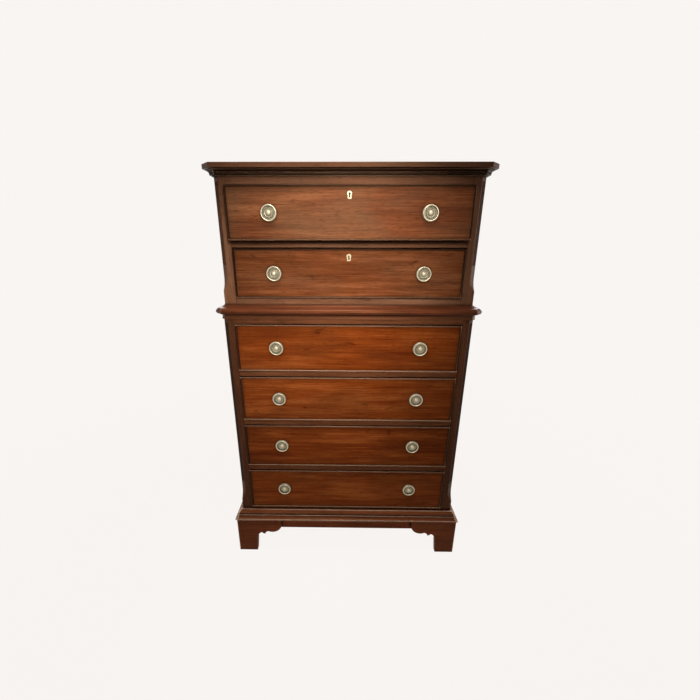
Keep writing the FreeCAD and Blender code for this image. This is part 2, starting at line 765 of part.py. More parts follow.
# Ring pulls

def make_pull(drawer, side, sign):
    """Plate with stud and nut, and the ring that swings in the plate's post."""
    case = drawer_case(drawer)
    mark = f"pull_{drawer}_{side}"
    x = f"{sign} * {case}_pull_spacing / 2"
    z = f"drawer_{drawer}_floor + drawer_{drawer}_height / 2"
    face = f"drawer_{drawer}_face"
    centre = (x, face, z)
    pin_height = f"{z} + ring_radius"
    pin_axis = f"{face} - ring_out"
    dome_seat = (x, f"{face} - disc_height + dome_sink", z)
    dome = turned("Part::Sphere", mark + "_dome", "out", dome_seat, Radius="dome_radius")
    dome.Angle1 = 0
    solid = fuse(
        mark + "_solid",
        rod(mark + "_disc", "out", centre, "plate_radius", "plate_thickness"),
        ring(mark + "_rim", (x, f"{face} - plate_thickness", z), "plate_radius - plate_rim", "plate_rim"),
        rod(mark + "_boss", "out", centre, "disc_radius", "disc_height"),
        dome,
        rod(mark + "_knuckle", "out", (x, face, pin_height), "knuckle_radius", "ring_out + knuckle_cap"),
        rod(mark + "_stud", "in", centre, "stud_radius", "front_thickness + stud_tail"),
    )
    eye = rod(mark + "_eye", "right", (f"{x} - 2 * knuckle_radius", pin_axis, pin_height),
              "pin_radius + pin_clearance", "4 * knuckle_radius")
    nut_seat = f"{face} + front_thickness"
    blank = turned("Part::Prism", mark + "_nut_blank", "in", (x, nut_seat, z),
                   Circumradius="nut_radius", Height="nut_height")
    blank.Polygon = HEX_CORNERS
    thread = rod(mark + "_thread", "in", (x, nut_seat, z), "stud_radius", "nut_height")
    plate = cut(mark + "_plate", solid, eye)
    nut = cut(mark + "_nut", blank, thread)

    hoop = ring(mark + "_hoop", (x, pin_axis, z), "ring_radius", "wire_radius")
    notch = board(mark + "_notch", (f"{x} - ring_gap", f"{x} + ring_gap"),
                  (f"{pin_axis} - 2 * wire_radius", f"{pin_axis} + 2 * wire_radius"),
                  (f"{z} + ring_radius - 2 * wire_radius", f"{z} + ring_radius + 2 * wire_radius"))
    pin = rod(mark + "_pin", "right", (f"{x} - pin_reach", pin_axis, pin_height),
              "pin_radius", "2 * pin_reach")
    open_hoop = cut(mark + "_open_hoop", hoop, notch)
    node(f"drawer_{drawer}_ring_{side}", fuse(mark + "_ring", open_hoop, pin))
    hole = rod(mark + "_hole", "in", centre, "stud_radius + stud_clearance", "front_thickness")
    return [plate, nut], hole


# Drawers

def make_tails(drawer, side, sign, wide, front_rear, z):
    """Dovetails on the front end of a drawer side."""
    pitch = f"(({z[1]}) - ({z[0]})) / {TAIL_COUNT}"
    inner, outer = span(sign, f"{wide} - drawer_side", wide)
    tails = []
    for index in range(TAIL_COUNT):
        tail = doc.addObject("Part::Wedge", f"tail_{drawer}_{side}_{index}")
        middle = f"{z[0]} + {index + 0.5} * {pitch}"
        broad = f"({pitch} - tail_spacing) / 2"
        narrow = f"({pitch} - tail_spacing) / 2 - tail_length / tail_slope"
        limits = {
            "Xmin": inner, "Xmax": outer, "X2min": inner, "X2max": outer,
            "Ymin": f"{front_rear} - tail_length", "Ymax": front_rear,
            "Zmin": f"{middle} - {broad}", "Zmax": f"{middle} + {broad}",
            "Z2min": f"{middle} - ({narrow})", "Z2max": f"{middle} + {narrow}",
        }
        for prop, text in limits.items():
            bind(tail, prop, text)
        tails.append(tail)
    return tails


def make_beads(drawer, wide, face, low, high):
    """Cock bead: four strips let into the edges of the drawer front."""
    run = (f"{face} - bead_rise", f"{face} + bead_depth")
    across = (f"-({wide})", wide)
    between = (f"{low} + bead_thickness", f"{high} - bead_thickness")
    beads = [
        board(f"bead_{drawer}_top", across, run, (between[1], high)),
        board(f"bead_{drawer}_bottom", across, run, (low, between[0])),
    ]
    for side, sign in SIDES.items():
        upright = span(sign, f"{wide} - bead_thickness", wide)
        beads.append(board(f"bead_{drawer}_{side}", upright, run, between))
    return beads


def make_drawer(drawer):
    case = drawer_case(drawer)
    mark = f"drawer_{drawer}"
    floor = f"{mark}_floor"
    face = f"{mark}_face"
    rear = f"{face} + {case}_drawer_length"
    front_rear = f"{face} + front_thickness"
    wide = f"{case}_opening - side_gap"
    inside = f"{wide} - drawer_side"
    low = f"{floor} + bottom_gap"
    high = front_top(drawer)
    side_z = (f"{floor} + runner_clearance", f"{floor} + {mark}_height - side_drop")
    bottom_top = f"{floor} + bottom_lift + bottom_thickness"

    bottom = board(mark + "_panel", (f"-({inside} + groove_depth)", f"{inside} + groove_depth"),
                   (f"{front_rear} - groove_depth", rear), (f"{floor} + bottom_lift", bottom_top))
    beads = make_beads(drawer, wide, face, low, high)
    front_tools = [bottom, *beads]
    walls = []
    for side, sign in SIDES.items():
        plank = board(f"{mark}_plank_{side}", span(sign, inside, wide), (front_rear, rear), side_z)
        tails = make_tails(drawer, side, sign, wide, front_rear, side_z)
        front_tools.extend(tails)
        walls.append(cut(f"{mark}_side_{side}", fuse(f"{mark}_dovetailed_{side}", plank, *tails), bottom))
    walls.append(board(mark + "_back", (f"-({inside})", inside), (f"{rear} - drawer_side", rear),
                       (bottom_top, f"{side_z[1]} - back_drop")))

    plates = []
    for side, sign in SIDES.items():
        pieces, hole = make_pull(drawer, side, sign)
        plates.extend(pieces)
        front_tools.append(hole)
    if drawer in LOCKED_DRAWERS:
        front_tools.extend(make_lock(drawer))
    blank = board(mark + "_blank", (f"-({wide})", wide), (face, front_rear), (low, high))
    node(f"{mark}_front", cut(mark + "_cut", blank, *front_tools))
    node(f"{mark}_cock_bead", *beads)
    node(f"{mark}_sides_and_back", *walls)
    node(f"{mark}_bottom", bottom)
    node(f"{mark}_pull_plates", *plates)


def write_parts():
    doc.recompute()
    for piece in doc.Objects:
        if "Invalid" in piece.State or "Error" in piece.State:
            raise RuntimeError(f"{piece.Name} failed: {piece.State}")
    for piece in nodes:
        if piece.Shape.isNull() or not piece.Shape.isValid() or not piece.Shape.Solids:
            raise RuntimeError(f"{piece.Label} has no valid shape")
    os.makedirs("parts", exist_ok=True)
    for piece in nodes:
        piece.Shape.exportStep(f"parts/{piece.Label}.step")
        print(f"{piece.Label}: {len(piece.Shape.Solids)} solids, {piece.Shape.Volume / 1000:.1f} cm3")
    print(f"{len(nodes)} sub-parts")


fill_sheets()
make_mouldings()
case_boards = []
case_backs = []
case_fittings = []
for case_name, post_head in (("upper", "cornice_bottom"), ("lower", "waist_bottom")):
    make_posts(case_name, post_head)
    boards, case_back, fittings = make_case(case_name)
    case_boards.extend(boards)
    case_backs.append(case_back)
    case_fittings.extend(fittings)
node("case_tops_and_bottoms", *case_boards)
node("case_backs", *case_backs)
node("drawer_runners", *case_fittings)
make_feet()
for number in range(1, 7):
    make_drawer(number)
write_parts()
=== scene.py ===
# %% [markdown]
# # A chest on chest in dark red mahogany
# The real object is two cases stood one on the other: two long drawers above, four below. The solid
# model already has every board, drawer, lock and ring at its true size and place. This lesson gives
# those solids what a cabinet maker and a century of polish give the real one: softened edges, grain
# that runs along each board, brass that was turned and cast, and the light of a plain studio.

# %% Load the solid chest
import json
import math

import bmesh
import bpy
from mathutils import Matrix, Vector


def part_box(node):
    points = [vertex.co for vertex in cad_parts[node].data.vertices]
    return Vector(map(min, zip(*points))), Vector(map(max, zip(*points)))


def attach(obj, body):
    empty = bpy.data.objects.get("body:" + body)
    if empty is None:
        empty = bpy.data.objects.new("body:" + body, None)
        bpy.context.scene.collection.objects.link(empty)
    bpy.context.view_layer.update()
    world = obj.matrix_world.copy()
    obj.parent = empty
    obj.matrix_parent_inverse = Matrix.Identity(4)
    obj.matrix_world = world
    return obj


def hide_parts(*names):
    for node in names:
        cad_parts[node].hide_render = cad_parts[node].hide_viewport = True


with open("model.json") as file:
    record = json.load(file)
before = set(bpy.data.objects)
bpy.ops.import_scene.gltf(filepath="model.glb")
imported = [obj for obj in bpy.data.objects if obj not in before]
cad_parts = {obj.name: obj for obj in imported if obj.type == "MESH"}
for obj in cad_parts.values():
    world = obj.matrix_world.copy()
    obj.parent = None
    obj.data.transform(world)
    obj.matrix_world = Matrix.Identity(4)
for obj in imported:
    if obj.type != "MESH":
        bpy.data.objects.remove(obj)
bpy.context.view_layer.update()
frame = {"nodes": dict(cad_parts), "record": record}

MM = 0.001
bodies = frame["record"]["behaviour"]["bodies"]
body_of = {node: body for body, members in bodies.items() for node in members}
slot_of = {row["node"]: row["material_slot"] for row in frame["record"]["subparts"]}

# %% [markdown]
# ## Colours and nodes
# Colours are written as the sRGB hex values a paint program shows, and turned to the linear values
# that light adds up in. One small function adds a shader node, sets its options and links its inputs,
# so each finish below reads as a list of what it is made of.

# %% Helpers for finishes
def linear(hex_colour):
    """An sRGB hex colour as linear red, green, blue and full alpha."""
    shares = [int(hex_colour[at:at + 2], 16) / 255 for at in (1, 3, 5)]
    return (*[c / 12.92 if c <= 0.04045 else ((c + 0.055) / 1.055) ** 2.4 for c in shares], 1.0)


def add(tree, kind, inputs=None, **settings):
    """A new node with its settings. An input is a value, or another node's output to link."""
    node = tree.nodes.new(kind)
    for name, setting in settings.items():
        setattr(node, name, setting)
    for name, source in (inputs or {}).items():
        if isinstance(source, bpy.types.NodeSocket):
            tree.links.new(source, node.inputs[name])
        else:
            node.inputs[name].default_value = source
    return node


def new_material(name, **constants):
    """A material with a Principled shader whose constant sockets are set directly."""
    material = bpy.data.materials.new(name)
    material.use_nodes = True
    shader = material.node_tree.nodes["Principled BSDF"]
    for socket, number in constants.items():
        shader.inputs[socket.replace("_", " ")].default_value = number
    return material, material.node_tree, shader


print("mahogany red is", [round(c, 3) for c in linear("#6a2c12")[:3]])

# %% [markdown]
# ## Coats of colour
# Stain, polish, dust and wear lie on wood one over the other, so its colour is built up in coats, and so
# are the painted shade in its corners and the painted highlights and shade on its edges. Each coat is a
# colour and a pattern that says where it shows. Noise lies mostly between 0.3 and 0.7, so the values
# between which a coat comes in lie there too.

# %% One coat over another
def coat(tree, under, pattern, between, share, colour):
    """Lays a colour over what is under it. Its share changes while a pattern goes between two values."""
    amount = add(tree, "ShaderNodeMapRange", {"Value": pattern, "From Min": between[0], "From Max": between[1],
                                              "To Min": share[0], "To Max": share[1]}).outputs[0]
    # A colour mix has its share on socket 0, its colours on 6 and 7 and its result on 2
    return add(tree, "ShaderNodeMix", {0: amount, 6: under, 7: linear(colour)}, data_type="RGBA").outputs[2]


# %% [markdown]
# ## Wood
# Mahogany is an even wood with soft ribbons of colour and long open pores. Stain and many thin coats of
# polish leave it deep and glossy. Its corners are darkened with painted shade. Its edges are painted pale
# on beads and mouldings, partly for polish rubbed by hands and cloths and partly as painted highlights,
# and dark on the case, as painted shade. Daylight fades it in wide patches, and hands leave small dark
# smudges and nicks. A picture of wood would repeat and blur close up, so all of it is drawn from noise
# instead: faded patches, figure, stripes, fibres and pores, each stretched along the board.
# Every board carries three attributes: *grain*, the way its fibres run; *board*, a number of its own
# that moves the pattern, so no two boards share a figure; and *wear_and_shading*, how strongly its edge
# colour shows, with rubbed polish, painted highlight and painted shade.

# %% Wood from stretched noise
# Width and length of each pattern. Real pores are a fifth of a millimetre wide; they are drawn wider to show.
FADING = (150 * MM, 320 * MM)
SMUDGE = (20 * MM, 48 * MM)
FIGURE = (62 * MM, 380 * MM)
STRIPE = (17 * MM, 260 * MM)
FIBRE = (4 * MM, 150 * MM)
PORE = (1.4 * MM, 26 * MM)
PORE_DEPTH = 0.2 * MM
NICK_SPACING = 75 * MM
EDGE_SHADING_WIDTH = 4 * MM                     # how far an edge's colour reaches: rubbed polish, painted highlight and painted shade
SHELLAC = "#e2a678"                 # old polish is amber, so what it mirrors looks warm
BOARD_SHIFT = (3.1, 5.7, 4.3)       # metres: moves each board's pattern far from the others'
TONE_SPREAD = 0.06                  # how far the boards differ in tone


def wood(name, stripes, dull, grime_and_shade, edges, rough, corner_shade=0.9, shade_reach=14 * MM, **constants):
    """A finish whose stripes follow the grain attribute of each board.

    stripes are its dark, middle and light tones, dull the tone of faded patches, and edges the colour
    painted on edges: pale for rubbed polish and painted highlights, dark for painted shade. Grime lies in
    pores and nicks, and the same colour darkens corners as painted shade: corner_shade is how dark corners
    get, and shade_reach how far that painted shade spreads out of them.
    """
    material, tree, shader = new_material(name, Specular_Tint=linear(SHELLAC), **constants)
    place = add(tree, "ShaderNodeTexCoord").outputs["Object"]
    grain = add(tree, "ShaderNodeAttribute", attribute_name="grain").outputs["Vector"]
    board = add(tree, "ShaderNodeAttribute", attribute_name="board").outputs["Fac"]
    wear_and_shading = add(tree, "ShaderNodeAttribute", attribute_name="wear_and_shading").outputs["Fac"]
    shift = add(tree, "ShaderNodeVectorMath", {0: BOARD_SHIFT, "Scale": board}, operation="SCALE").outputs[0]
    spot = add(tree, "ShaderNodeVectorMath", {0: place, 1: shift}, operation="ADD").outputs[0]
    along = add(tree, "ShaderNodeVectorMath", {0: spot, 1: grain}, operation="DOT_PRODUCT").outputs["Value"]

    def streaks(size, detail, distortion=0.0):
        """Noise of a given width, drawn out to a given length by squeezing space along the grain."""
        width, length = size
        spare = add(tree, "ShaderNodeMath", {0: along, 1: 1 - width / length}, operation="MULTIPLY").outputs[0]
        pull = add(tree, "ShaderNodeVectorMath", {0: grain, "Scale": spare}, operation="SCALE").outputs[0]
        squeezed = add(tree, "ShaderNodeVectorMath", {0: spot, 1: pull}, operation="SUBTRACT").outputs[0]
        noise = {"Vector": squeezed, "Scale": 1 / width, "Detail": detail, "Distortion": distortion}
        return add(tree, "ShaderNodeTexNoise", noise).outputs["Fac"]

    # Figure, stripes and fibres add up to one tone, which picks a colour between the dark and the light
    figure = streaks(FIGURE, 3, 0.8)
    stripe = streaks(STRIPE, 2, 0.3)
    fibre = streaks(FIBRE, 2)
    ribbons = add(tree, "ShaderNodeMix", {0: 0.40, "A": figure, "B": stripe}).outputs["Result"]
    threads = add(tree, "ShaderNodeMix", {0: 0.32, "A": ribbons, "B": fibre}).outputs["Result"]
    own = add(tree, "ShaderNodeMath", {0: board, 1: TONE_SPREAD, 2: -TONE_SPREAD / 2},
              operation="MULTIPLY_ADD").outputs[0]
    tone = add(tree, "ShaderNodeMath", {0: threads, 1: own}, operation="ADD").outputs[0]
    ramp = add(tree, "ShaderNodeValToRGB", {"Fac": tone})
    dark, middle, light = (linear(stripe_colour) for stripe_colour in stripes)
    stops = ramp.color_ramp.elements
    stops[0].position, stops[0].color = 0.34, dark
    stops[1].position, stops[1].color = 0.66, light
    stops.new(0.5).color = middle

    # What time has done lies over that: fading, smudges, filled pores and nicks
    faded = coat(tree, ramp.outputs["Color"], streaks(FADING, 2, 0.5), (0.42, 0.68), (0.0, 0.4), dull)
    smudged = coat(tree, faded, streaks(SMUDGE, 4, 0.6), (0.62, 0.76), (0.0, 0.5), grime_and_shade)
    pores = streaks(PORE, 1)
    pored = coat(tree, smudged, pores, (0.32, 0.44), (0.4, 0.0), grime_and_shade)
    nicks = add(tree, "ShaderNodeTexVoronoi", {"Vector": spot, "Scale": 1 / NICK_SPACING}).outputs["Distance"]
    nicked = coat(tree, pored, nicks, (0.012, 0.022), (0.8, 0.0), grime_and_shade)

    # Ambient occlusion finds edges when it looks inside the board, and corners when it looks outside
    # Painted highlight and shade on edges: pale edge colours are rubbed polish and painted highlights, dark ones
    # are painted shade
    edge = add(tree, "ShaderNodeAmbientOcclusion", {"Distance": EDGE_SHADING_WIDTH}, samples=6, inside=True).outputs["AO"]
    edge_shading_share = add(tree, "ShaderNodeMath", {0: wear_and_shading, 1: 0.8}, operation="MULTIPLY").outputs[0]
    worn_and_shaded = coat(tree, nicked, edge, (0.35, 0.8), (edge_shading_share, 0.0), edges)
    # Painted shade: corners and hollows are darkened towards the grime colour
    shelter = add(tree, "ShaderNodeAmbientOcclusion", {"Distance": shade_reach}, samples=8).outputs["AO"]
    colour = coat(tree, worn_and_shaded, shelter, (0.45, 0.97), (corner_shade, 0.0), grime_and_shade)

    gloss = add(tree, "ShaderNodeMapRange", {"Value": stripe, "From Min": 0.3, "From Max": 0.7,
                                             "To Min": rough[0], "To Max": rough[1]}).outputs[0]
    hollow = add(tree, "ShaderNodeBump", {"Height": pores, "Strength": 0.1, "Distance": PORE_DEPTH}).outputs[0]
    tree.links.new(colour, shader.inputs["Base Color"])
    tree.links.new(gloss, shader.inputs["Roughness"])
    tree.links.new(hollow, shader.inputs["Normal"])
    print(f"{name}: {len(tree.nodes)} nodes")
    return material


# %% [markdown]
# ## Stains and polishes
# All that shows is mahogany, but a maker stains each part of a chest to its own tone, and each has
# faded and been rubbed in its own way. Some tones below also carry painted shade, painted highlights and
# painted haze. The white ground would turn such dark woods grey if they mirrored it as fresh varnish
# does, so their specular level stays low.

# %% Mahogany of the drawers
# Under old polish the lower fronts are a clear red-brown.
mahogany = wood("polished mahogany", ("#5c240c", "#7f3a13", "#a05526"), dull="#4a2812", grime_and_shade="#1a0602",
                edges="#a8683c", rough=(0.38, 0.5), Specular_IOR_Level=0.05)
# The upper fronts are a dry brown, partly faded by daylight and partly painted reflection haze, the top one most.
# The second gets a darker, slightly redder copy, whose darkness is painted shade.
faded_hazy_mahogany = wood("faded mahogany with painted haze", ("#502716", "#743f23", "#945a38"), dull="#5c4a34", grime_and_shade="#1a0802",
                      edges="#a97850", rough=(0.4, 0.52), Specular_IOR_Level=0.12)
redder_mahogany = wood("redder mahogany", ("#47210f", "#67361b", "#844d2d"), dull="#4c3a28", grime_and_shade="#1a0802",
                       edges="#a97850", rough=(0.4, 0.52), Specular_IOR_Level=0.12)
# The thin beads round the drawers have pale noses, partly rubbed and partly painted highlight, and are painted
# black beside them as painted shade.
highlighted_bead = wood("bead mahogany with painted highlights", ("#2a140a", "#361b0f", "#442616"), dull="#20110a", grime_and_shade="#080201",
                     edges="#eab48e", rough=(0.18, 0.24), corner_shade=0.96, shade_reach=6 * MM, Specular_IOR_Level=0.18)
# Those of the upper drawers are painted dark all over as painted shade, so they show as plain dark lines; they
# have lost their shine.
shaded_bead = wood("bead mahogany in painted shade", ("#1e0f08", "#28160c", "#342013"), dull="#180d07", grime_and_shade="#080201",
                 edges="#b07c5c", rough=(0.3, 0.4), corner_shade=0.96, shade_reach=10 * MM, Specular_IOR_Level=0.1)

# %% Mahogany and poplar of the cases
# The case is stained browner than the drawers, so it frames them. Its upper half is paler, partly faded
# as they have and partly painted reflection haze. The dark colour of the case's edges is painted shade.
faded_hazy_case = wood("faded case mahogany with painted haze", ("#603d28", "#784f37", "#8d6248"), dull="#4e3727", grime_and_shade="#120502",
                  edges="#2a150b", rough=(0.38, 0.5), Specular_IOR_Level=0.06)
stained_case = wood("brown stained mahogany", ("#4e2c1a", "#613a25", "#744a33"), dull="#3e2417", grime_and_shade="#100401",
                    edges="#1c0d06", rough=(0.38, 0.5), Specular_IOR_Level=0.05)
# The lower rails are paler than the posts beside them.
rail_mahogany = wood("lower rail mahogany", ("#5e341e", "#75462b", "#8a573a"), dull="#4a2918", grime_and_shade="#120502",
                     edges="#2a140a", rough=(0.34, 0.46), Specular_IOR_Level=0.06)
# Mouldings are polished along their length. Their bright edge lines are painted highlights, and their dark
# hollows are painted shade.
cap_mahogany = wood("faded cap mahogany", ("#452919", "#583725", "#6c4630"), dull="#3c291c", grime_and_shade="#0c0301",
                    edges="#8e6448", rough=(0.34, 0.44), Specular_IOR_Level=0.15)
# Painted shade: the cornice is nearly black and its hollows darker still, for the shadow under the cap; its pale
# edge lines are painted highlights.
shaded_cornice_mahogany = wood("cornice mahogany in painted shade", ("#180c06", "#20120a", "#2a1a11"), dull="#140b06",
                        grime_and_shade="#060100", edges="#b58c6c", rough=(0.24, 0.32), corner_shade=0.98, shade_reach=13 * MM,
                        Specular_IOR_Level=0.05)
# Painted shade: the waist is darker, with wide dark hollows, for the shade under its nose.
shaded_waist_mahogany = wood("red stained mahogany with painted shade", ("#3f1d0d", "#512815", "#64341e"), dull="#321a0e", grime_and_shade="#0c0301",
                      edges="#a06745", rough=(0.26, 0.34), corner_shade=0.97, shade_reach=24 * MM, Specular_IOR_Level=0.12)
# Painted highlights: a near-white edge colour makes bright lines along the base moulding.
highlighted_base_mahogany = wood("red mahogany with painted highlights", ("#5c2c15", "#70391d", "#84492a"), dull="#442415", grime_and_shade="#0e0301",
                     edges="#f6d6b8", rough=(0.22, 0.3), corner_shade=0.96, shade_reach=9 * MM, Specular_IOR_Level=0.35)
# The feet are out of the light and seldom polished: a dull, even red.
foot_mahogany = wood("foot mahogany", ("#673017", "#7a3d1f", "#8c4c29"), dull="#4a2916", grime_and_shade="#140502",
                     edges="#9a6c4e", rough=(0.36, 0.46), Specular_IOR_Level=0.05)
# Poplar is a pale, plain wood with no polish, used where nobody looks.
poplar = wood("plain poplar", ("#8a6a45", "#a2835a", "#b6986d"), dull="#7d5f40", grime_and_shade="#4a3521",
              edges="#c4aa80", rough=(0.6, 0.75), Specular_IOR_Level=0.2)

# %% [markdown]
# ## Brass and iron
# The pulls are pale cast brass: the rings that hands lift stay bright, the plates are duller, and both
# are brown in the hollows, partly with tarnish and partly as painted shade and painted dark reflection.
# Metal is all reflection, so its colour goes on a fully metallic shader. The hollows are found with
# ambient occlusion, which asks how much open space each point sees.

# %% Metals
TARNISH_SPOT = 5 * MM


def metal(name, bright, tarnish_and_shade, rough, hollow_reach):
    """A finish that is bright where it stands free, tarnished in small spots, and darkened in hollows by tarnish,
    painted shade and painted dark reflection.
    """
    material, tree, shader = new_material(name, Metallic=1.0)
    place = add(tree, "ShaderNodeTexCoord").outputs["Object"]
    spots = add(tree, "ShaderNodeTexNoise", {"Vector": place, "Scale": 1 / TARNISH_SPOT,
                                             "Detail": 4}).outputs["Fac"]
    patch = add(tree, "ShaderNodeMapRange", {"Value": spots, "From Min": 0.5, "From Max": 0.8,
                                             "To Max": 0.2}).outputs[0]
    shelter = add(tree, "ShaderNodeAmbientOcclusion", {"Distance": hollow_reach}, samples=8).outputs["AO"]
    # Painted shade: hollows take the tarnish colour, partly as tarnish and partly as painted shade and dark
    # reflection
    hollow_tarnish_and_shade = add(tree, "ShaderNodeMapRange", {"Value": shelter, "From Min": 0.5, "From Max": 0.98,
                                              "To Min": 0.95, "To Max": 0.0}).outputs[0]
    dull = add(tree, "ShaderNodeMath", {0: hollow_tarnish_and_shade, 1: patch}, operation="MAXIMUM").outputs[0]
    colour = add(tree, "ShaderNodeMix", {"Factor": dull, 6: linear(bright), 7: linear(tarnish_and_shade)},
                 data_type="RGBA").outputs[2]
    gloss = add(tree, "ShaderNodeMapRange", {"Value": dull, "To Min": rough[0], "To Max": rough[1]}).outputs[0]
    tree.links.new(colour, shader.inputs["Base Color"])
    tree.links.new(gloss, shader.inputs["Roughness"])
    print(f"{name}: {len(tree.nodes)} nodes")
    return material


# Rings were cast, filed and then rubbed by hands: a soft, pale gleam all round the wire.
brass = metal("pale cast brass", "#c6bb9e", "#3d3626", (0.5, 0.62), 12 * MM)
# Plates are seldom touched, so they are rougher and mirror nothing clearly.
plate_brass = metal("dull plate brass", "#b8ad92", "#3c3425", (0.6, 0.7), 12 * MM)
# Lock brass was never polished: yellow-grey, and painted almost black inside the keyhole as painted shade.
lock_brass = metal("old lock brass", "#a39578", "#140d06", (0.5, 0.62), 8 * MM)
# Bolts are filed iron, a dull grey.
iron = metal("lock iron", "#5e5b57", "#33302d", (0.52, 0.66), 4 * MM)

# %% [markdown]
# ## Telling the solids apart
# A node of the solid model can hold several solids that touch, such as the lengths of a moulding. If
# they were merged into one, their joints would vanish and they would share one grain. They are told
# apart by their triangles, which come one solid after another: a solid is whole when none of its edges
# is left open. Each is copied, and its triangles are merged back into flat faces.

# %% Copy each solid of a node
WELD = 0.002 * MM
FLAT = math.radians(0.5)


def solids_of(node):
    """The closed solids of a node, each as a list of triangles of corner points."""
    mesh = frame["nodes"][node].data
    places = [tuple(round(c / WELD) for c in vertex.co) for vertex in mesh.vertices]
    solids = []
    triangles = []
    open_edges = set()
    for polygon in mesh.polygons:
        corners = [places[at] for at in polygon.vertices]
        triangles.append(corners)
        for pair in zip(corners, corners[1:] + corners[:1]):
            open_edges ^= {frozenset(pair)}
        if not open_edges:
            solids.append(triangles)
            triangles = []
    return solids + ([triangles] if triangles else [])


def solid_mesh(triangles):
    """A solid as a mesh of merged, flat faces."""
    solid = bmesh.new()
    corner = {}
    for points in triangles:
        for point in points:
            if point not in corner:
                corner[point] = solid.verts.new(Vector(point) * WELD)
        if len(set(points)) == 3:
            solid.faces.new([corner[point] for point in points])
    bmesh.ops.dissolve_limit(solid, angle_limit=FLAT, verts=solid.verts, edges=solid.edges)
    return solid


print("solids in the cornice moulding:", len(solids_of("cornice_moulding")))

# %% [markdown]
# ## Grain
# A maker cuts boards so that the fibres run along them, because wood splits easily across. The longest
# side of a solid gives that way. Corner pieces lie at 45 degrees, so most of their edges do too.

# %% Find the way of the grain and mark each board
GOLDEN = 0.618034        # steps of this share spread the boards' numbers evenly
PARALLEL = 0.999         # the least cosine between two ways that count as one
boards_made = 0


def run_of(solid):
    """The way a board's fibres run: along its longest side, or along the diagonal of a corner piece."""
    ways = [(edge.verts[1].co - edge.verts[0].co, edge.calc_length()) for edge in solid.edges]
    for run in (Vector((1, 1, 0)).normalized(), Vector((1, -1, 0)).normalized()):
        diagonal = sum(length for way, length in ways if abs(way.dot(run)) > PARALLEL * length)
        if diagonal > sum(length for way, length in ways) / 2:
            return run
    size = [max(v.co[axis] for v in solid.verts) - min(v.co[axis] for v in solid.verts) for axis in range(3)]
    return Vector([float(axis == size.index(max(size))) for axis in range(3)])


def mark_board(solid, run, rubbed):
    """Stores the grain's way, the board's own number and the share of its edge colour, rubbed polish and painted
    light, on a solid's faces.
    """
    global boards_made
    boards_made += 1
    grain = solid.faces.layers.float_vector.new("grain")
    board = solid.faces.layers.float.new("board")
    wear_and_shading = solid.faces.layers.float.new("wear_and_shading")
    for face in solid.faces:
        face[grain] = run
        face[board] = boards_made * GOLDEN % 1
        face[wear_and_shading] = rubbed


post = solid_mesh(solids_of("upper_corner_posts")[0])
print("the grain of a corner post runs along", tuple(run_of(post)))
post.free()

# %% [markdown]
# ## Edges
# A solid's edges are perfectly sharp, which no plane or sandpaper leaves, and sharp edges catch no
# light. So the edges a maker would break get a small round bevel. Which ones depends on the piece: the
# long ones of a board, or only those that run along a moulding.

# %% Soften the edges
SHARP = math.radians(25)


def is_long(least):
    """Chooses edges of at least this length."""
    return lambda edge, run: edge.calc_length() > least


def follows_run(edge, run):
    """Chooses the edges that run along the board."""
    way = (edge.verts[1].co - edge.verts[0].co).normalized()
    return abs(way.dot(run)) > PARALLEL


def soften(solid, run, radius, chosen, segments):
    """Rounds the chosen edges of a solid, where its faces meet at a sharp angle."""
    edges = [
        edge for edge in solid.edges
        if len(edge.link_faces) == 2 and edge.calc_face_angle() > SHARP and chosen(edge, run)
    ]
    bmesh.ops.bevel(solid, geom=edges, offset=radius, offset_type="OFFSET", segments=segments, profile=0.5,
                    affect="EDGES", material=-1, clamp_overlap=True)


foot = solid_mesh(solids_of("bracket_feet")[0])
before = len(foot.faces)
soften(foot, run_of(foot), 1 * MM, is_long(30 * MM), segments=2)
print(f"the first foot board has {before} faces with sharp edges, {len(foot.faces)} with soft ones")
foot.free()

# %% [markdown]
# ## Finished pieces
# The softened solids of a node become one piece. It rides on the same body as the node, stands in its
# place and takes its finish, so it moves with the drawer, ring or bolt that it belongs to. Broad faces
# beside a bevel would look swollen with smooth shading, and normals weighted by area keep them flat.

# %% Put a piece in place
SMOOTH = math.radians(32)


def gather(solids):
    """Several solids as one mesh."""
    whole = bmesh.new()
    for solid in solids:
        mesh = bpy.data.meshes.new("one solid")
        solid.to_mesh(mesh)
        solid.free()
        whole.from_mesh(mesh)
        bpy.data.meshes.remove(mesh)
    return whole


def put_in_place(name, shape, finish, body, slot, *nodes):
    """Turns a finished bmesh into a piece that rides on its body and stands for its solid nodes."""
    mesh = bpy.data.meshes.new(name)
    shape.to_mesh(mesh)
    shape.free()
    mesh.polygons.foreach_set("use_smooth", [True] * len(mesh.polygons))
    mesh.set_sharp_from_angle(angle=SMOOTH)
    mesh.materials.append(finish)
    piece = bpy.data.objects.new(name, mesh)
    bpy.context.scene.collection.objects.link(piece)
    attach(piece, body)
    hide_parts(*nodes)
    return piece


def even_shading(piece):
    """Keeps large flat faces flat beside their rounded edges."""
    weighted = piece.modifiers.new("even shading", "WEIGHTED_NORMAL")
    weighted.keep_sharp = True


def evenly(share):
    """The same share of edge colour, rubbed polish and painted light, on every board."""
    return lambda solid, run: share


def boards(node, finish, radius, chosen, segments=2, wear_and_shading_of=evenly(1.0)):
    """A node's solids as softened boards."""
    solids = []
    for triangles in solids_of(node):
        solid = solid_mesh(triangles)
        run = run_of(solid)
        soften(solid, run, radius, chosen, segments)
        mark_board(solid, run, wear_and_shading_of(solid, run))
        solids.append(solid)
    count = len(solids)
    piece = put_in_place(f"{node}_finished", gather(solids), finish, body_of[node], slot_of[node], node)
    even_shading(piece)
    print(f"{piece.name}: {count} boards, {len(piece.data.polygons)} faces")


# %% [markdown]
# ## The two cases
# Posts, rails and sides are planed boards with edges just broken, so a joint shows as a fine line.

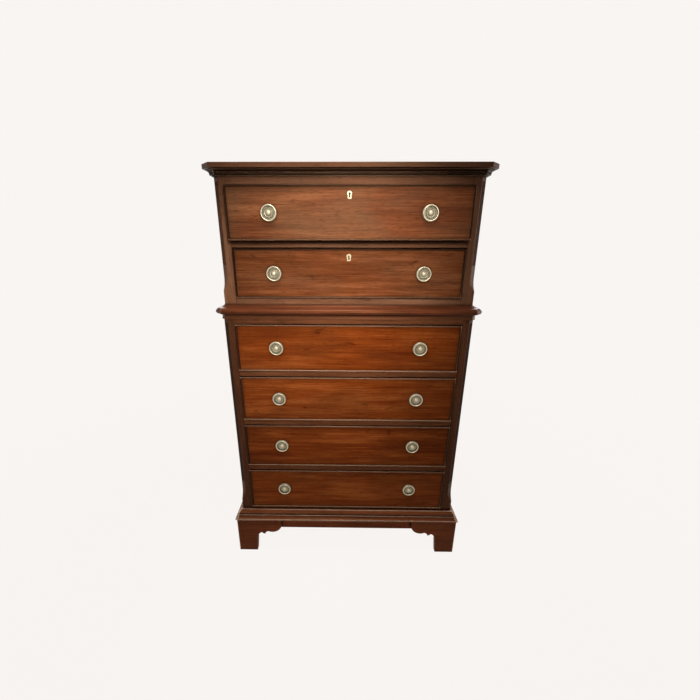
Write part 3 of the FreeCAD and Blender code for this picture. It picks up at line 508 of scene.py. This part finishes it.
# %% Rails, sides and posts
PLANED = 0.8 * MM
BOARD_EDGE = is_long(30 * MM)
TALL_EDGE = is_long(100 * MM)        # leaves out the short edges of flutes, stops and dovetails

boards("upper_rails", faded_hazy_case, PLANED, BOARD_EDGE)
boards("lower_rails", rail_mahogany, PLANED, BOARD_EDGE)
for half, finish in (("upper", faded_hazy_case), ("lower", stained_case)):
    boards(f"{half}_sides", finish, PLANED, BOARD_EDGE)
    boards(f"{half}_corner_posts", finish, PLANED, TALL_EDGE)

# %% [markdown]
# ## Mouldings and feet
# A moulding is planed with a shaped iron in long lengths, which are then mitred at the corners. It is
# softened along its length only, because the mitred ends have to close. The lengths across the front get
# the palest edge lines, which are painted highlights: a share above 1 makes such a line wider. The feet are
# sawn to a curve, so all their edges are broken.

# %% Mouldings, cap, feet and the boards behind
MOULDED = 1.3 * MM
CAP_NOSE = 2.0 * MM
FOOT_EDGE = 1.0 * MM
ROUGH_SAWN = 0.5 * MM
LITTLE_EDGE_LIGHT = 0.3


def most_in_front(share):
    """A given share of edge colour, painted highlight on the mouldings, on boards that run across the front, and
    little on the others.
    """
    return lambda solid, run: share if abs(run.x) > 0.9 else min(share, LITTLE_EDGE_LIGHT)


# The share sets how wide the painted highlight lines along each moulding's front are.
for node, finish, share in (
    ("cornice_moulding", shaded_cornice_mahogany, 1.3),
    ("waist_moulding", shaded_waist_mahogany, 0.35),
    ("base_moulding", highlighted_base_mahogany, 2.3),
):
    boards(node, finish, MOULDED, follows_run, wear_and_shading_of=most_in_front(share))
boards("cap_board", cap_mahogany, CAP_NOSE, BOARD_EDGE, segments=3)
boards("bracket_feet", foot_mahogany, FOOT_EDGE, is_long(0.5 * MM))
for node in ("case_tops_and_bottoms", "case_backs", "drawer_runners"):
    boards(node, poplar, ROUGH_SAWN, BOARD_EDGE)

# %% [markdown]
# ## Drawers
# A cock bead is a thin strip with a rounded nose, let into the edge of the drawer front and standing
# proud of it. Its nose is a bevel of almost half its thickness. The front itself is one wide board.
# The strips below and to the right of each front, which face the light, get the palest noses as painted
# highlights.

# %% Drawer boxes, fronts and beads
BEAD_NOSE = 2.3 * MM
FRONT_EDGE = 0.5 * MM
DRAWER_EDGE = 0.6 * MM
UPPER_DRAWERS = (1, 2)
# Painted highlight on the noses of the strips above and below a front, and of the uprights left and right of it
UPPER_BEADS = (0.15, 1.2)
LOWER_BEADS = (1.1, 2.0)
UPRIGHT_BEADS = (0.05, 0.4)


def is_nose(face_y):
    """Chooses a bead's long edges in front of the drawer front."""
    return lambda edge, run: follows_run(edge, run) and max(v.co.y for v in edge.verts) < face_y


def bead_highlight(middle, above, below):
    """Painted highlight on each strip of a bead, by where it lies from the middle of the front."""
    left, right = UPRIGHT_BEADS

    def share(solid, run):
        centre = sum((v.co for v in solid.verts), Vector()) / len(solid.verts)
        if run.z > 0.5:
            return right if centre.x > middle.x else left
        return above if centre.z > middle.z else below
    return share


for number in range(1, 7):
    drawer = f"drawer_{number}"
    front_low, front_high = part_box(f"{drawer}_front")
    bead_finish, strips = (shaded_bead, UPPER_BEADS) if number in UPPER_DRAWERS else (highlighted_bead, LOWER_BEADS)
    wear_and_shading_of = bead_highlight((front_low + front_high) / 2, *strips)
    front_finish = {1: faded_hazy_mahogany, 2: redder_mahogany}.get(number, mahogany)
    boards(f"{drawer}_front", front_finish, FRONT_EDGE, TALL_EDGE)
    boards(f"{drawer}_cock_bead", bead_finish, BEAD_NOSE, is_nose(front_low.y), segments=4, wear_and_shading_of=wear_and_shading_of)
    boards(f"{drawer}_sides_and_back", poplar, DRAWER_EDGE, TALL_EDGE)
    boards(f"{drawer}_bottom", poplar, ROUGH_SAWN, BOARD_EDGE)

# %% [markdown]
# ## Plates of the pulls
# Each pull has a round plate that was turned on a lathe, with a rolled rim, a raised ring and a dome,
# a post that carries the ring, and a stud with a nut behind the front. A lathe shape is a profile spun
# round an axis, so all but the nut are spun. A subdivision surface makes their curves smooth later.

# %% Turned plates, posts and studs
# Sizes of the pulls are in millimetres. Profiles are (radius, height above the drawer front).
PLATE_RADIUS = 27.5
PLATE_PROFILE = [
    (27.2, 0.0), (27.5, 1.2), (27.0, 2.6), (26.0, 3.1), (24.8, 2.5), (23.6, 1.5), (20.0, 1.2), (16.6, 1.4),
    (15.6, 2.2), (15.2, 3.6), (14.2, 4.3), (12.9, 3.8), (12.2, 2.9), (10.6, 2.7), (9.6, 3.4), (9.1, 5.0),
    (7.6, 7.4), (4.8, 9.2), (1.7, 9.9), (0.0, 10.0),
]
POST_PROFILE = [(2.5, 0.5), (2.4, 2.6), (3.3, 4.2), (3.8, 6.0), (3.4, 7.9), (2.2, 9.1), (0.8, 9.5), (0.0, 9.5)]
STUD_PROFILE = [(0.0, -29.0), (2.2, -28.8), (2.5, -28.2), (2.5, -22.0), (2.5, 0.2)]
PLATE_STEPS, POST_STEPS, STUD_STEPS = 40, 20, 14
NUT_RADIUS = 6.0
NUT_HEIGHT = 4.5
NUT_EDGE = 0.5


def turned(profile, steps):
    """A lathe shape: the profile spun about the axis that points out of the drawer front."""
    shape = bmesh.new()
    points = [shape.verts.new((radius * MM, -height * MM, 0)) for radius, height in profile]
    edges = [shape.edges.new(pair) for pair in zip(points, points[1:])]
    bmesh.ops.spin(shape, geom=points + edges, cent=(0, 0, 0), axis=(0, 1, 0), angle=math.tau, steps=steps,
                   use_merge=True)
    bmesh.ops.remove_doubles(shape, verts=shape.verts, dist=WELD)
    bmesh.ops.recalc_face_normals(shape, faces=shape.faces)
    return shape


def shifted(shape, place):
    """Moves a shape, and hands it on."""
    bmesh.ops.translate(shape, verts=shape.verts, vec=place)
    return shape


def hex_nut(back_y):
    """A nut on the stud, against the back of the drawer front."""
    shape = bmesh.new()
    bmesh.ops.create_cone(shape, cap_ends=True, segments=6, radius1=NUT_RADIUS * MM, radius2=NUT_RADIUS * MM,
                          depth=NUT_HEIGHT * MM)
    bmesh.ops.rotate(shape, verts=shape.verts, matrix=Matrix.Rotation(math.pi / 2, 3, "X"))
    bmesh.ops.bevel(shape, geom=shape.edges[:], offset=NUT_EDGE * MM, segments=2, profile=0.5, affect="EDGES",
                    material=-1)
    return shifted(shape, (0, back_y + NUT_HEIGHT * MM / 2, 0))


plate = turned(PLATE_PROFILE, PLATE_STEPS)
print("a turned plate has", len(plate.faces), "faces")
plate.free()

# %% [markdown]
# ## Rings of the pulls
# The ring is a thick wire bent round until its ends almost meet, with a pin through the post between
# them. A circle spun most of the way round makes the wire, and a thin cylinder the pin.

# %% Rings
RING_RADIUS = 24.0
WIRE_RADIUS = 2.1
RING_OUT = 6.0           # how far the ring hangs in front of the drawer
RING_GAP = 4.0           # half the opening between its ends
PIN_RADIUS = 1.6
PIN_REACH = 4.8
WIRE_SIDES, RING_STEPS = 14, 72


def pull_ring():
    """A wire hoop, open at the top, and the pin that joins its ends."""
    shape = bmesh.new()
    opening = math.asin(RING_GAP / RING_RADIUS)
    bmesh.ops.create_circle(shape, segments=WIRE_SIDES, radius=WIRE_RADIUS * MM, cap_ends=False)
    bmesh.ops.translate(shape, verts=shape.verts, vec=(RING_RADIUS * MM, 0, 0))
    start = Matrix.Rotation(-(math.pi / 2 - opening), 3, "Y")
    bmesh.ops.rotate(shape, verts=shape.verts, matrix=start)
    bmesh.ops.spin(shape, geom=shape.verts[:] + shape.edges[:], cent=(0, 0, 0), axis=(0, 1, 0),
                   angle=math.tau - 2 * opening, steps=RING_STEPS)
    bmesh.ops.holes_fill(shape, edges=[edge for edge in shape.edges if edge.is_boundary])
    bmesh.ops.recalc_face_normals(shape, faces=shape.faces)
    pin = bmesh.ops.create_cone(shape, cap_ends=True, segments=WIRE_SIDES, radius1=PIN_RADIUS * MM,
                                radius2=PIN_RADIUS * MM, depth=2 * PIN_REACH * MM)["verts"]
    bmesh.ops.rotate(shape, verts=pin, matrix=Matrix.Rotation(math.pi / 2, 3, "Y"))
    bmesh.ops.translate(shape, verts=pin, vec=(0, 0, RING_RADIUS * MM))
    return shape


hoop = pull_ring()
print("a ring has", len(hoop.faces), "faces")
hoop.free()

# %% [markdown]
# ## Twelve pulls
# Two pulls go on each front, at the ends of the box that their solid plates fill. A plate rides on its
# drawer, and a ring on a body of its own that swings on the pin.

# %% Put the pulls on the drawers
def smooth_curves(piece):
    """Rounds a turned piece, alike in the view and in the render."""
    finer = piece.modifiers.new("smooth curves", "SUBSURF")
    finer.levels = 1
    finer.render_levels = 1


for number in range(1, 7):
    drawer = f"drawer_{number}"
    node = f"{drawer}_pull_plates"
    low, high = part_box(node)
    front_low, front_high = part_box(f"{drawer}_front")
    plates = []
    for side, x in (("left", low.x + PLATE_RADIUS * MM), ("right", high.x - PLATE_RADIUS * MM)):
        centre = Vector((x, front_low.y, (low.z + high.z) / 2))
        plates.append(shifted(turned(PLATE_PROFILE, PLATE_STEPS), centre))
        plates.append(shifted(turned(POST_PROFILE, POST_STEPS), centre + Vector((0, 0, RING_RADIUS * MM))))
        plates.append(shifted(turned(STUD_PROFILE, STUD_STEPS), centre))
        plates.append(shifted(hex_nut(front_high.y - front_low.y), centre))
        ring = f"{drawer}_ring_{side}"
        hoop = shifted(pull_ring(), centre - Vector((0, RING_OUT * MM, 0)))
        put_in_place(f"{ring}_finished", hoop, brass, ring, "brass", ring)
    piece = put_in_place(f"{node}_finished", gather(plates), plate_brass, drawer, "brass", node)
    smooth_curves(piece)
    print(f"{piece.name}: {len(piece.data.polygons)} faces before smoothing")

# %% [markdown]
# ## Locks
# The keyhole plates are flush castings with a broken edge, and the lock behind each is a plain box.
# Its bolt is a filed block that rises into the rail above.

# %% Locks and bolts
PLATE_EDGE = 0.35 * MM
BOLT_EDGE = 0.4 * MM
SMALL_EDGE = is_long(3 * MM)

for number in UPPER_DRAWERS:
    boards(f"drawer_{number}_lock", lock_brass, PLATE_EDGE, SMALL_EDGE)
    boards(f"drawer_{number}_lock_bolt", iron, BOLT_EDGE, SMALL_EDGE)

# %% [markdown]
# ## Studio
# The photograph shows the chest cut out on a warm white ground. The floor and the world are that
# white for the camera and in reflections, and the floor still takes the chest's shadow.

# %% Floor and world
GROUND = "#f9f5f2"


def seen_directly(tree):
    """1 for camera rays, reflections and rays through glass, 0 for the light on surfaces."""
    path = add(tree, "ShaderNodeLightPath").outputs
    mirrored = add(tree, "ShaderNodeMath", {0: path["Is Camera Ray"], 1: path["Is Glossy Ray"]},
                   operation="MAXIMUM").outputs[0]
    return add(tree, "ShaderNodeMath", {0: mirrored, 1: path["Is Transmission Ray"]},
               operation="MAXIMUM").outputs[0]


def make_world(strength):
    """A white surround that lights the chest only a little."""
    world = bpy.data.worlds.new("studio")
    world.use_nodes = True
    tree = world.node_tree
    level = add(tree, "ShaderNodeMix", {"Factor": seen_directly(tree), "A": strength, "B": 1.0}).outputs["Result"]
    background = tree.nodes["Background"]
    background.inputs["Color"].default_value = linear(GROUND)
    tree.links.new(level, background.inputs["Strength"])
    bpy.context.scene.world = world


def make_floor(size, near_glow, near, far):
    """A floor that shows the chest's shadow close by and melts into the background further off."""
    shape = bmesh.new()
    bmesh.ops.create_grid(shape, x_segments=1, y_segments=1, size=size / 2)
    mesh = bpy.data.meshes.new("floor")
    shape.to_mesh(mesh)
    shape.free()
    floor = bpy.data.objects.new("floor", mesh)
    bpy.context.scene.collection.objects.link(floor)
    material, tree, shader = new_material("pale floor", Roughness=0.9, Specular_IOR_Level=0.0)
    shader.inputs["Base Color"].default_value = linear(GROUND)
    shine = add(tree, "ShaderNodeEmission", {"Color": linear(GROUND), "Strength": 1.0})
    place = add(tree, "ShaderNodeTexCoord").outputs["Object"]
    distance = add(tree, "ShaderNodeVectorMath", {0: place}, operation="LENGTH").outputs["Value"]
    glow = add(tree, "ShaderNodeMapRange", {"Value": distance, "From Min": near, "From Max": far,
                                            "To Min": near_glow, "To Max": 1.0}).outputs[0]
    share = add(tree, "ShaderNodeMath", {0: seen_directly(tree), 1: glow}, operation="MULTIPLY").outputs[0]
    mixed = add(tree, "ShaderNodeMixShader", {0: share, 1: shader.outputs[0], 2: shine.outputs[0]})
    tree.links.new(mixed.outputs[0], tree.nodes["Material Output"].inputs["Surface"])
    mesh.materials.append(material)


make_world(strength=0.04)
make_floor(size=40.0, near_glow=0.98, near=0.8, far=3.0)
print("ground", GROUND)

# %% [markdown]
# ## Lights
# In the photograph the upper drawers are brightest and the light falls off towards the floor. Soft
# lamps of a plain strength do that, so a colour in the middle of the chest renders about as written.
# A narrow spread keeps a lamp off what it isn't meant for, and no lamp shows to the camera.

# %% Lamps
def soft_light(name, place, target, size, power, spread=180):
    """A rectangular lamp at a place, turned to a target."""
    lamp = bpy.data.lights.new(name, "AREA")
    lamp.shape = "RECTANGLE"
    lamp.size, lamp.size_y = size
    lamp.energy = power
    lamp.spread = math.radians(spread)
    holder = bpy.data.objects.new(name, lamp)
    holder.location = place
    holder.rotation_euler = (Vector(target) - Vector(place)).to_track_quat("-Z", "Y").to_euler()
    holder.visible_camera = False
    bpy.context.scene.collection.objects.link(holder)


# The key lights the upper drawers, the low lamp the lower ones, and the overhead lamp draws the mouldings
soft_light("key", (0.2, -1.5, 1.86), (-0.07, -0.22, 1.23), size=(0.3, 0.4), power=2.75, spread=47)
soft_light("low", (-0.4, -1.6, 0.36), (-0.2, -0.22, 0.72), size=(0.5, 0.4), power=0.55, spread=70)
soft_light("overhead", (-0.1, -0.64, 2.7), (-0.1, -0.3, 0.2), size=(0.6, 0.25), power=3.4, spread=50)
# The others show the side and the back, which the photograph's camera doesn't see
soft_light("right", (2.0, 0.2, 1.2), (0.4, 0.0, 0.9), size=(0.7, 1.2), power=8.0)
for side in (-1, 1):
    soft_light(f"rear_{side}", (1.8 * side, 3.2, 2.4), (0, 0.1, 0.8), size=(1.5, 1.5), power=32)
print("lamps:", [lamp.name for lamp in bpy.data.lights])

# %% [markdown]
# ## Camera
# The photograph was taken with a wide lens from close by, a little below the top of the chest and
# looking down. The place, tilt and focal length come from fitting the corners of the drawers and
# mouldings in it.

# %% The photograph's camera
CAMERA_PLACE = (-17.5 * MM, -1434.2 * MM, 1369.6 * MM)
YAW, PITCH, ROLL = -0.672, 18.098, 0.115       # degrees: to the right, down, and turned
FOCAL_PIXELS = 329.95
IMAGE_PIXELS = 700
MIDDLE_COLUMN = 339.66                         # the picture is cut out of a wider one, so not its middle
SENSOR = 36.0                                  # millimetres

yaw, pitch, roll = (math.radians(angle) for angle in (YAW, PITCH, ROLL))
ahead = Vector((math.sin(yaw) * math.cos(pitch), math.cos(yaw) * math.cos(pitch), -math.sin(pitch)))
level_right = ahead.cross(Vector((0, 0, 1))).normalized()
level_up = level_right.cross(ahead)
right = level_right * math.cos(roll) + level_up * math.sin(roll)
up = level_up * math.cos(roll) - level_right * math.sin(roll)
camera = bpy.data.objects.new("camera", bpy.data.cameras.new("camera"))
camera.matrix_world = Matrix.Translation(CAMERA_PLACE) @ Matrix((right, up, -ahead)).transposed().to_4x4()
camera.data.sensor_width = SENSOR
camera.data.lens = FOCAL_PIXELS / IMAGE_PIXELS * SENSOR
camera.data.shift_x = 0.5 - MIDDLE_COLUMN / IMAGE_PIXELS
bpy.context.scene.collection.objects.link(camera)
bpy.context.scene.camera = camera
bpy.context.scene.view_settings.view_transform = "Standard"
print(f"lens {camera.data.lens:.2f} mm")
